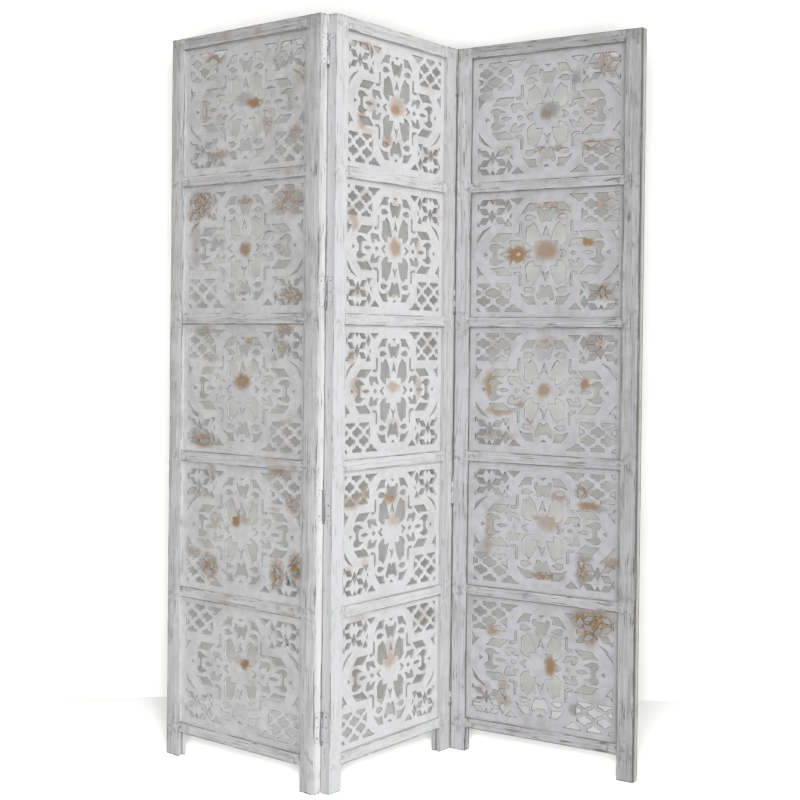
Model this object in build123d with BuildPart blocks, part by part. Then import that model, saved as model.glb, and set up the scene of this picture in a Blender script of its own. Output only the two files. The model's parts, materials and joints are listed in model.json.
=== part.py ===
from build123d import *
import os
from math import cos, radians, sin, sqrt

# Sizes in millimetres, angles in degrees.
# The screen stands on the floor in a zigzag. Z is up, and the origin is on the floor, mid-footprint.

# Leaves
leaf_width = 508.0
leaf_height = 1830.0
leaf_thickness = 25.0

# How far each leaf is turned away from the X axis as the screen stands
left_turn = 42.0
middle_turn = 51.0
right_turn = 34.7

# Frame
stile_width = 44.0
top_rail_height = 30.0
rail_height = 27.0
foot_height = 62.0
rows = 5
groove_depth = 8.0
tongue_gap = 0.5

# Panels
panel_thickness = 6.0
panel_play = 0.25
panel_end_gap = 1.0

# Hinges, let in flush with the leaves' edges. The pins' line lies just off the corner of the stile.
hinge_height = 70.0
hinge_tops = (46.0, 614.0)
hinge_bottoms = (645.0, 122.0)
plate_width = 17.5
plate_thickness = 1.5
plate_play = 0.2
knuckles = 5
knuckle_gap = 0.3
knuckle_wall = 1.25
knuckle_room = 0.4
pin_radius = 1.5
pin_play = 0.05
pin_end = 0.5
pin_beyond_edge = 0.5
pin_beyond_face = 0.5

# Hinge screws
screw_pitch = 25.0
screw_inset = 6.5
screw_length = 16.0
shank_radius = 1.4
screw_tip = 2.2
slot_width = 0.7
slot_depth = 0.6
slot_step = 37.0

# Worked out from the sizes above
groove_width = panel_thickness + 2 * panel_play
opening_width = leaf_width - 2 * stile_width
opening_height = (leaf_height - foot_height - top_rail_height - rows * rail_height) / rows
row_pitch = opening_height + rail_height
barrel_radius = pin_radius + knuckle_wall
swept_radius = barrel_radius + knuckle_room
plate_setback = sqrt(swept_radius**2 - pin_beyond_edge**2) - pin_beyond_face
screw_head_radius = shank_radius + plate_thickness
screw_setback = plate_setback + plate_width - screw_inset
upper_hinges = [leaf_height - top - hinge_height for top in hinge_tops]
hinge_floors = [*upper_hinges, *hinge_bottoms]
knuckle_pitch = hinge_height / knuckles

# The fret outlines are drawn on an opening of this size, and stretch with the real opening.
drawn_width = 420.0
drawn_height = 320.6
stretch = (opening_width / drawn_width, opening_height / drawn_height)


# ---------------------------------------------------------------- where the leaves stand
# In a leaf's own plane, X runs along the leaf from its left end, Y from its front face to its back, and Z up.


def stand_leaf(pin_line, pin_x, pin_y, turn):
    """Give the plane of a leaf turned by an angle, with its point (pin_x, pin_y) on a pin line."""
    along = (cos(radians(turn)), sin(radians(turn)), 0)
    loose = Plane(origin=(0, 0, 0), x_dir=along, z_dir=(0, 0, 1))
    start = pin_line - loose.from_local_coords(Vector(pin_x, pin_y, 0))
    return Plane(origin=start, x_dir=along, z_dir=(0, 0, 1))


left_edge_pin = -pin_beyond_edge
right_edge_pin = leaf_width + pin_beyond_edge
back_pin = leaf_thickness + pin_beyond_face
front_pin = -pin_beyond_face

ridge = Vector(0, 0, 0)
middle_plane = stand_leaf(ridge, left_edge_pin, back_pin, middle_turn)
valley = middle_plane.from_local_coords(Vector(right_edge_pin, front_pin, 0))
left_plane = stand_leaf(ridge, right_edge_pin, back_pin, -left_turn)
right_plane = stand_leaf(valley, left_edge_pin, front_pin, -right_turn)

footprint = [
    plane.from_local_coords(Vector(x, y, 0))
    for plane in (left_plane, middle_plane, right_plane)
    for x in (0, leaf_width)
    for y in (0, leaf_thickness)
]
centre_x = (min(p.X for p in footprint) + max(p.X for p in footprint)) / 2
centre_y = (min(p.Y for p in footprint) + max(p.Y for p in footprint)) / 2
centre = Vector(centre_x, centre_y, 0)

leaves = {
    name: Plane(origin=plane.origin - centre, x_dir=plane.x_dir, z_dir=plane.z_dir)
    for name, plane in (("left", left_plane), ("middle", middle_plane), ("right", right_plane))
}


def section_plane(leaf, x):
    """A plane across a leaf at x: its own X runs from front to back and its Y runs up."""
    plane = leaves[leaf]
    origin = plane.from_local_coords(Vector(x, 0, 0))
    return Plane(origin=origin, x_dir=plane.y_dir, z_dir=plane.x_dir)


def facing_plane(leaf, x, y, z):
    """A plane along a leaf that faces the front: its own X runs along the leaf and its Y up."""
    plane = leaves[leaf]
    origin = plane.from_local_coords(Vector(x, y, z))
    return Plane(origin=origin, x_dir=plane.x_dir, z_dir=-plane.y_dir)


def save(piece, node):
    """Label a finished piece and write its STEP file."""
    piece.part.label = node
    export_step(piece.part, f"parts/{node}.step")


def outline(points, mode=Mode.ADD):
    """Fill a closed outline in the sketch that is being drawn."""
    with BuildLine() as border:
        Polyline(*points, close=True)
    make_face(border.edges(), mode=mode)


# ---------------------------------------------------------------- fret pattern
# One quarter of the rosette, right of the middle and above it, from the middle of the panel.
wing = [(53, 69), (45, 70), (36, 79), (27, 70), (20, 56), (13, 31)]
wing += [(32, 32), (32, 17), (46, 21), (56, 32), (54, 50)]
arch = [(57, 85), (58, 94), (52, 98), (41, 98), (35, 94), (29, 90), (37, 88), (38, 85)]
outer_slant = [(47, 128), (27, 128), (31, 122), (32, 109), (54, 109), (67, 102), (60, 113)]
hook = [(73, 81), (68, 81), (67, 53), (73, 47), (87, 46.5), (87, 52), (74, 53)]
side_slant = [(138, 53), (94, 53), (108, 39), (117, 32), (127, 35), (154, 35)]
notched_leaf = [(102, 33), (96, 36), (70, 34), (68, 27), (62, 17), (71, 18)]
notched_leaf += [(79, 24), (86, 23), (87, 14), (94, 14), (99, 23)]
quarter_holes = (wing, arch, outer_slant, hook, side_slant, notched_leaf)

# Holes on the upright middle line, drawn above the middle.
arrow = [(0, 70), (9, 45), (0, 52), (-9, 45)]
crown_right = [(0, 109), (13, 109), (15, 116), (22, 116), (24, 108), (18, 94), (13, 81), (6, 81), (0, 88)]
crown = crown_right + [(-u, v) for u, v in reversed(crown_right[1:-1])]
small_wedge = [(-7, 128), (7, 128), (0, 122.5)]
upright_holes = (arrow, crown, small_wedge)

# Holes on the level middle line, drawn right of the middle.
chevron = [(58, 0), (46, 9), (40, 9), (48, 0), (40, -9), (46, -9)]
drop = [(83, 0), (80, 4), (74, 5), (69, 0), (74, -5), (80, -4)]
eye = [(99, 0), (106, 3.4), (113.5, 4.5), (121, 3.4), (128, 0), (121, -3.4), (113.5, -4.5), (106, -3.4)]
anchor_top = [(137, 9), (134, 15), (119, 17), (129, 22), (139, 27), (153, 26), (158, 19), (154, 11), (148, 9)]
anchor = anchor_top + [(u, -v) for u, v in reversed(anchor_top)]
dot = [(173, 5), (173, -5), (164, 0)]
level_holes = (chevron, drop, eye, anchor, dot)

# The two kinds of corner block, drawn in the upper right quarter.
cross = [(4, 12), (8, 6.5), (18, 4), (18, -4), (8, -6.5), (4, -12)]
cross += [(-u, -v) for u, v in cross]
cross_centres = [(174, 119), (120, 119), (147, 98), (174, 77), (120, 77), (93, 98), (201, 98), (147, 142)]
cross_block = (97, 75, 194.5, 145.5)
cross_fillers = [
    [(64, 146), (112, 146), (110, 139), (100, 137), (96, 129), (86, 129), (80, 137)],
    [(184, 146), (194, 146), (194, 138), (190, 138)],
    [(194, 30), (177, 51), (188, 51), (194, 62)],
]

star_column = 46.0
star_step = 48.0
lozenge_share = 0.62
star_block = (96, 73.5, 194, 141)
slanted_lozenges = [(129, 87), (129, 135), (175, 111)]
reversed_lozenges = [(129, 111), (175, 87), (175, 135)]
upright_lozenges = [(152, 99), (106, 123), (152, 147), (106, 75), (198, 123), (198, 75)]
star_fillers = [
    [(96, 104), (98, 92), (102, 98)],
    [(98, 141), (65, 141), (82, 126)],
    [(194, 34), (190, 50), (178, 62), (158, 71), (176, 56)],
]


def stretched(points):
    """Fit drawn points to the real opening."""
    return [(u * stretch[0], v * stretch[1]) for u, v in points]


def moved(points, place):
    """Move drawn points so that they lie round a place."""
    return [(u + place[0], v + place[1]) for u, v in points]


def lozenge(lean):
    """A lozenge along one edge of the star lattice: 0 is upright, 1 leans right and -1 leans left."""
    half_edge = (lean * star_column / 2, star_step / (4 if lean else 2))
    third = star_column / 3
    half_waist = (third / 2, -lean * star_step / 4) if lean else (third, 0)
    ends = (half_edge, half_waist, (-half_edge[0], -half_edge[1]), (-half_waist[0], -half_waist[1]))
    return [(u * lozenge_share, v * lozenge_share) for u, v in ends]


def block_sketch(shapes, block):
    """Draw shapes that repeat over a corner block, cut off at the block's edges."""
    low_u, low_v, high_u, high_v = block
    with BuildSketch() as sketch:
        for points in shapes:
            outline(stretched(points))
        outline(
            stretched([(low_u, low_v), (high_u, low_v), (high_u, high_v), (low_u, high_v)]),
            mode=Mode.INTERSECT,
        )
    return sketch.sketch


with BuildSketch() as rosette:
    for points in quarter_holes:
        outline(stretched(points))
    mirror(about=Plane.YZ)
    for points in level_holes:
        outline(stretched(points))
        outline(stretched([(-u, v) for u, v in points]))
    mirror(about=Plane.XZ)
    for points in upright_holes:
        outline(stretched(points))
        outline(stretched([(u, -v) for u, v in points]))

with BuildSketch() as cross_corner:
    add(block_sketch([moved(cross, place) for place in cross_centres], cross_block))
    for points in cross_fillers:
        outline(stretched(points))

lozenges = [moved(lozenge(1), place) for place in slanted_lozenges]
lozenges += [moved(lozenge(-1), place) for place in reversed_lozenges]
lozenges += [moved(lozenge(0), place) for place in upright_lozenges]
with BuildSketch() as star_corner:
    add(block_sketch(lozenges, star_block))
    for points in star_fillers:
        outline(stretched(points))


def fret(crosses_at_top_left):
    """Put the rosette together with its corner blocks, crosses on one diagonal and stars on the other."""
    first, second = (star_corner, cross_corner) if crosses_at_top_left else (cross_corner, star_corner)
    with BuildSketch() as sketch:
        add(rosette.sketch)
        add(first.sketch)
        add(first.sketch, rotation=180)
        mirror(second.sketch, about=Plane.YZ)
        mirror(second.sketch, about=Plane.XZ)
    return sketch.sketch


frets = {crosses_at_top_left: fret(crosses_at_top_left) for crosses_at_top_left in (True, False)}


# ---------------------------------------------------------------- hinge places
# Each hinged edge of a leaf: where its face is along the leaf, which way it looks, where the pins are, and
# whether its plates hold the pins. Plates that hold the pins have the odd knuckles, counted from the bottom.

ridge_left = ("left", leaf_width, 1, leaf_thickness, 1, False)
ridge_middle = ("middle", 0, -1, leaf_thickness, 1, True)
valley_middle = ("middle", leaf_width, 1, 0, -1, True)
valley_right = ("right", 0, -1, 0, -1, False)


def edge_point(edge, beyond_edge, beyond_face):
    """Give a leaf's own X and Y for a point beyond a hinged edge and beyond the face on the pins' side."""
    _, edge_x, edge_way, face_y, face_way, _ = edge
    return (edge_x + edge_way * beyond_edge, face_y + face_way * beyond_face)


def screw_places(edge, floor):
    """Give the planes of one plate's screws: X runs up, Y into the wood, from the middle of each head."""
    leaf, _, edge_way, _, _, _ = edge
    plane = leaves[leaf]
    inward = plane.x_dir * -edge_way
    x, y = edge_point(edge, 0, -screw_setback)
    middle = floor + hinge_height / 2
    origins = [plane.from_local_coords(Vector(x, y, middle + step * screw_pitch)) for step in (-1, 0, 1)]
    return [Plane(origin=origin, x_dir=(0, 0, 1), z_dir=Vector(0, 0, 1).cross(inward)) for origin in origins]


def screw_shape(place, mode=Mode.ADD):
    """Turn one countersunk screw, or the room that it takes, about its own axis."""
    half = [
        (0, 0),
        (screw_head_radius, 0),
        (shank_radius, plate_thickness),
        (shank_radius, screw_length - screw_tip),
        (0, screw_length),
    ]
    with BuildSketch(place) as profile:
        outline(half)
    revolve(profile.sketch, axis=Axis(place.origin, place.y_dir), mode=mode)


# ---------------------------------------------------------------- stiles


def corner_box(edge, depth, reach):
    """The outline of a cut in a hinged edge's corner, to a depth in the edge and a reach from the face."""
    return [edge_point(edge, *point) for point in ((-depth, -reach), (1, -reach), (1, 1), (-depth, 1))]


def build_stile(leaf, side, edge):
    """One upright: a grooved bar that runs down as a foot, cut and drilled for any hinges that it carries."""
    groove_front = (leaf_thickness - groove_width) / 2
    groove_back = (leaf_thickness + groove_width) / 2
    left_section = [
        (0, 0),
        (stile_width, 0),
        (stile_width, groove_front),
        (stile_width - groove_depth, groove_front),
        (stile_width - groove_depth, groove_back),
        (stile_width, groove_back),
        (stile_width, leaf_thickness),
        (0, leaf_thickness),
    ]
    section = left_section if side == "left" else [(leaf_width - x, y) for x, y in left_section]
    with BuildPart() as stile:
        with BuildSketch(leaves[leaf]):
            outline(section)
        extrude(amount=leaf_height)
        for floor in hinge_floors if edge else ():
            with BuildSketch(leaves[leaf].offset(floor - plate_play)):
                outline(corner_box(edge, plate_thickness, plate_setback + plate_width + plate_play))
            extrude(amount=hinge_height + 2 * plate_play, mode=Mode.SUBTRACT)
            with BuildSketch(leaves[leaf].offset(floor - pin_end - knuckle_room)):
                outline(corner_box(edge, swept_radius - pin_beyond_edge, swept_radius - pin_beyond_face))
            extrude(amount=hinge_height + 2 * (pin_end + knuckle_room), mode=Mode.SUBTRACT)
            for place in screw_places(edge, floor):
                screw_shape(place, mode=Mode.SUBTRACT)
    save(stile, f"{leaf}_leaf_{side}_stile")


stile_edges = (
    ("left", "left", None),
    ("left", "right", ridge_left),
    ("middle", "left", ridge_middle),
    ("middle", "right", valley_middle),
    ("right", "left", valley_right),
    ("right", "right", None),
)


# ---------------------------------------------------------------- rails


def build_rail(leaf, name, bottom, height, grooved_below, grooved_above):
    """One crossbar with panel grooves in its edges and a tongue at each end for the stiles' grooves."""
    groove_front = (leaf_thickness - groove_width) / 2
    groove_back = (leaf_thickness + groove_width) / 2
    top = bottom + height
    tongue_bottom = bottom + (groove_depth if grooved_below else 0)
    tongue_top = top - (groove_depth if grooved_above else 0)
    tongue_length = groove_depth - tongue_gap
    tongue = [
        (groove_front, tongue_bottom),
        (groove_back, tongue_bottom),
        (groove_back, tongue_top),
        (groove_front, tongue_top),
    ]
    with BuildPart() as rail:
        with BuildSketch(section_plane(leaf, stile_width)):
            outline([(0, bottom), (leaf_thickness, bottom), (leaf_thickness, top), (0, top)])
            if grooved_below:
                outline([*tongue[:2], (groove_back, bottom), (groove_front, bottom)], mode=Mode.SUBTRACT)
            if grooved_above:
                outline([*tongue[2:], (groove_front, top), (groove_back, top)], mode=Mode.SUBTRACT)
        extrude(amount=opening_width)
        with BuildSketch(section_plane(leaf, stile_width - tongue_length)):
            outline(tongue)
        extrude(amount=opening_width + 2 * tongue_length)
    save(rail, f"{leaf}_leaf_{name}")


def build_rails(leaf):
    """The six rails of a leaf, from the bottom one up."""
    build_rail(leaf, "bottom_rail", foot_height, rail_height, False, True)
    for step in range(1, rows):
        build_rail(leaf, f"rail_{rows - step + 1}", foot_height + step * row_pitch, rail_height, True, True)
    build_rail(leaf, "top_rail", leaf_height - top_rail_height, top_rail_height, True, False)


# ---------------------------------------------------------------- panels


def build_panel(leaf, row, crosses_at_top_left):
    """One pierced panel. It stands in the groove of the rail below and has play in the other three."""
    opening_floor = foot_height + rail_height + (rows - row) * row_pitch
    side_reach = groove_depth - panel_end_gap
    left_end = -opening_width / 2 - side_reach
    right_end = opening_width / 2 + side_reach
    low_end = -opening_height / 2 - groove_depth
    high_end = opening_height / 2 + groove_depth - panel_end_gap
    back = (leaf_thickness + panel_thickness) / 2
    place = facing_plane(leaf, leaf_width / 2, back, opening_floor + opening_height / 2)
    with BuildPart() as panel:
        with BuildSketch(place):
            outline([(left_end, low_end), (right_end, low_end), (right_end, high_end), (left_end, high_end)])
            add(frets[crosses_at_top_left], mode=Mode.SUBTRACT)
        extrude(amount=panel_thickness)
    save(panel, f"{leaf}_leaf_panel_{row}")


# ---------------------------------------------------------------- hinges


def build_plate(edge, floor, node):
    """One hinge plate: a flat let into the leaf's edge, knuckles round the pin, and countersunk holes."""
    leaf, _, _, _, _, holds_pin = edge
    bore = pin_radius if holds_pin else pin_radius + pin_play
    own_knuckles = range(0, knuckles, 2) if holds_pin else range(1, knuckles, 2)
    flat = [
        edge_point(edge, -plate_thickness, -plate_setback),
        edge_point(edge, 0, -plate_setback),
        edge_point(edge, 0, -plate_setback - plate_width),
        edge_point(edge, -plate_thickness, -plate_setback - plate_width),
    ]
    web = [
        edge_point(edge, -plate_thickness, -plate_setback),
        edge_point(edge, 0, -plate_setback),
        edge_point(edge, 0, pin_beyond_face),
        edge_point(edge, -plate_thickness, pin_beyond_face),
    ]
    with BuildPart() as plate:
        with BuildSketch(leaves[leaf].offset(floor)):
            outline(flat)
        extrude(amount=hinge_height)
        for knuckle in own_knuckles:
            with BuildSketch(leaves[leaf].offset(floor + knuckle * knuckle_pitch + knuckle_gap / 2)):
                outline(web)
                with Locations(edge_point(edge, pin_beyond_edge, pin_beyond_face)):
                    Circle(barrel_radius)
                    Circle(bore, mode=Mode.SUBTRACT)
            extrude(amount=knuckle_pitch - knuckle_gap)
        for place in screw_places(edge, floor):
            screw_shape(place, mode=Mode.SUBTRACT)
    save(plate, node)


def build_pins(edge, node):
    """The pins of one fold, one in each of its hinges."""
    leaf = edge[0]
    with BuildPart() as pins:
        for floor in hinge_floors:
            with BuildSketch(leaves[leaf].offset(floor - pin_end)):
                with Locations(edge_point(edge, pin_beyond_edge, pin_beyond_face)):
                    Circle(pin_radius)
            extrude(amount=hinge_height + 2 * pin_end)
    save(pins, node)


def build_screws(edges, node):
    """The countersunk hinge screws of one leaf, each with its driving slot at an angle of its own."""
    places = [place for edge in edges for floor in hinge_floors for place in screw_places(edge, floor)]
    with BuildPart() as screws:
        for count, place in enumerate(places):
            screw_shape(place)
            head = Plane(origin=place.origin, x_dir=place.x_dir, z_dir=place.y_dir)
            with BuildSketch(head):
                Rectangle(3 * screw_head_radius, slot_width, rotation=count * slot_step)
            extrude(amount=slot_depth, mode=Mode.SUBTRACT)
    save(screws, node)


# ---------------------------------------------------------------- build everything

os.makedirs("parts", exist_ok=True)

for leaf, side, edge in stile_edges:
    build_stile(leaf, side, edge)

for leaf in leaves:
    build_rails(leaf)
    for row in range(1, rows + 1):
        build_panel(leaf, row, crosses_at_top_left=(row % 2 == 1) != (leaf == "middle"))

for number, floor in enumerate(hinge_floors, start=1):
    build_plate(ridge_left, floor, f"left_fold_hinge_{number}_left_plate")
    build_plate(ridge_middle, floor, f"left_fold_hinge_{number}_right_plate")
    build_plate(valley_middle, floor, f"right_fold_hinge_{number}_left_plate")
    build_plate(valley_right, floor, f"right_fold_hinge_{number}_right_plate")

build_pins(ridge_middle, "left_fold_hinge_pins")
build_pins(valley_middle, "right_fold_hinge_pins")
build_screws([ridge_left], "left_leaf_hinge_screws")
build_screws([ridge_middle, valley_middle], "middle_leaf_hinge_screws")
build_screws([valley_right], "right_leaf_hinge_screws")
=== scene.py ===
"""Finishes, brads and stage for a three-leaf carved jali screen in worn whitewash."""

import json
import math

import bmesh
import bpy
from mathutils import Matrix, Vector


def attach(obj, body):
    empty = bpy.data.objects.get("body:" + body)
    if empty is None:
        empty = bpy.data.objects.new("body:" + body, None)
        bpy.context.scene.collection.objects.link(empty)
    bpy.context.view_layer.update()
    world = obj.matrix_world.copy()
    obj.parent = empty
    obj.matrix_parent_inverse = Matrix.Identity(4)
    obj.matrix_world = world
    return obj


bl_info = {
    "name": "Carved jali screen",
    "version": (1, 0, 0),
    "blender": (4, 5, 0),
    "location": "View3D > Sidebar > Jali screen",
    "description": "Whitewashes the wood, paints the hinges and adds the brads and the stage",
    "category": "Object",
}

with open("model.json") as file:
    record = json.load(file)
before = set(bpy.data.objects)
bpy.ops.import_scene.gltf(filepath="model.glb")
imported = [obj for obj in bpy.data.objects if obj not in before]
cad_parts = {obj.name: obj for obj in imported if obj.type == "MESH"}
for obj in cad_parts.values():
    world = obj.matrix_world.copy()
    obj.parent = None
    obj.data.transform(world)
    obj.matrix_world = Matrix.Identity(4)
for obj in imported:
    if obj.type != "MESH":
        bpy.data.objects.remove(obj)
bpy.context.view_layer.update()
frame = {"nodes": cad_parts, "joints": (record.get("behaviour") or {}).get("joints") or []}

# Sizes of the joinery in metres. In a leaf's own axes X runs along it, Y from front to back, and Z up.
LEAF_WIDTH = 0.508
LEAF_THICKNESS = 0.025
LEAF_HEIGHT = 1.83
STILE_WIDTH = 0.044
TOP_RAIL_HEIGHT = 0.030
RAIL_HEIGHT = 0.027
FOOT_HEIGHT = 0.062
ROWS = 5
ROW_PITCH = (LEAF_HEIGHT - TOP_RAIL_HEIGHT - FOOT_HEIGHT) / ROWS
PANEL_FACE = 0.0095

# Hinges: the height of each plate's foot, the plates' height and width, and how far they stand in from the
# corner with the pins.
HINGE_FLOORS = (0.122, 0.645, 1.146, 1.714)
HINGE_HEIGHT = 0.070
PLATE_WIDTH = 0.0175
PLATE_SETBACK = 0.0026

# Brads: how far they are from a leaf's edge, the rings of a head from its tip to behind the wood, each with
# its share of the head's radius and of its height, and the number of a ring's corners.
BRAD_INSET = 0.040
BRAD_RINGS = ((0.35, 1.0), (0.7, 0.8), (0.95, 0.4), (1.0, 0.0), (0.9, -0.6))
BRAD_SIDES = 14

# Each leaf's turn about Z in degrees, and the fold and the point on that fold's pins that place it.
LEAVES = {
    "left": (-42.0, "left_fold", (0.5085, 0.0255, 0)),
    "middle": (51.0, "left_fold", (-0.0005, 0.0255, 0)),
    "right": (-34.7, "right_fold", (-0.0005, -0.0005, 0)),
}
# The two leaves that each fold joins, the left one first.
FOLDS = {"left_fold": ("left", "middle"), "right_fold": ("middle", "right")}

# The hinged edges of each leaf, each with the side of its pins: 1 at the back and -1 at the front.
HINGED_EDGES = {"left": ((LEAF_WIDTH, 1),), "middle": ((0.0, 1), (LEAF_WIDTH, -1)), "right": ((0.0, -1),)}

# How the whitewash has aged on each leaf: wear in general, along the outer edges and round the holes, and
# grime inside the holes, raised on the middle leaf as painted shade on hole walls that face away from the
# light. Then painted shade that greys the coat high up, how much greyer the top rail is, and painted light
# and shade on the left and right stiles. A number below 0 leaves more of the coat.
LEAF_PAINT = {
    "left": {
        "wear": 0.95, "edges": 0.35, "rims": 0.55, "hole_grime_and_shade": 0.12,
        "high": 0.20, "top": 0.25, "left": 0.0, "right": 0.0,
    },
    "middle": {
        "wear": 0.6, "edges": 0.15, "rims": 0.35, "hole_grime_and_shade": 0.5,
        "high": 0.05, "top": 0.12, "left": -0.2, "right": 0.22,
    },
    "right": {
        "wear": 1.3, "edges": 1.15, "rims": 1.0, "hole_grime_and_shade": 0.12,
        "high": 0.06, "top": 0.38, "left": -0.1, "right": 0.18,
    },
}
# A tint for each leaf's whitewash. The darker tints of the middle and right leaves are painted shade that
# tones down how bright the lights make them.
LEAF_TINT_AND_SHADE = {"left": (0.995, 0.99, 1.0), "middle": (0.855, 0.86, 0.875), "right": (0.82, 0.82, 0.855)}

# Where the coat is greyed, in metres: with the height, as painted shade; at the top rail; and within a
# stile's width, as painted light and shade.
SHADE_HIGH_UP = (0.5, 1.8)
AT_TOP_RAIL = (1.79, 1.81)
WITHIN_STILE = (0.050, 0.040)

# Worn places, in metres: how far the grime of hands reaches from a joint along a stile and along a rail, how
# far the wear reaches at the ends of the stiles, where a hinge's traces end on the faces beside an edge, and
# where the dirt round a hole ends inside it.
STILE_GRIME_REACH = 0.05
RAIL_GRIME_REACH = 0.06
END_WEAR = 0.004
HINGE_TRACES = (0.006, 0.004)
RIM_DIRT = (0.0016, 0.0006)
# Painted shade below each hinge, where the fold's hollow is: how far its middle is below the plate, and its
# half height and width.
HOLLOW_DROP = 0.004
HOLLOW_HALF_HEIGHT = 0.006
HOLLOW_HALF_WIDTH = 0.004

# How deep the relief of the worn paint and of the rusted steel is, in metres.
PAINT_RELIEF = 0.0004
RUST_RELIEF = 0.0002

# The stage, in metres: how large the floor and the wall are, where each fades to white from the middle
# outwards, and the place and radius of the lamp, which hangs beside the camera.
FLOOR_RADIUS = 60
FLOOR_FADE = (1.2, 3.2)
WALL_HALF_WIDTH = 4
WALL_HEIGHT = 3
WALL_FADE = (0.7, 1.3)
LAMP_PLACE = (-0.22, -3.5, 1.07)
LAMP_RADIUS = 0.6
# The large lights: how wide each looks in degrees, and the direction that its light comes from.
KEY_LIGHT = (75, (0.55, -0.83, 0.22))
FILL_LIGHT = (50, (-0.10, -0.99, 0.10))
BACK_LIGHT = (75, (-0.25, 0.95, 0.35))
# The camera: its place in metres, its turns in degrees, its lens in millimetres and its shift.
CAMERA_PLACE = (-0.22121, -3.5258, 1.06765)
CAMERA_YAW = -0.783
CAMERA_PITCH = -0.795
CAMERA_ROLL = 0.600
CAMERA_LENS = 63.976
CAMERA_SENSOR = 36
CAMERA_SHIFT = (0.0866, -0.05)
CAMERA_REACH = 200

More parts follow.
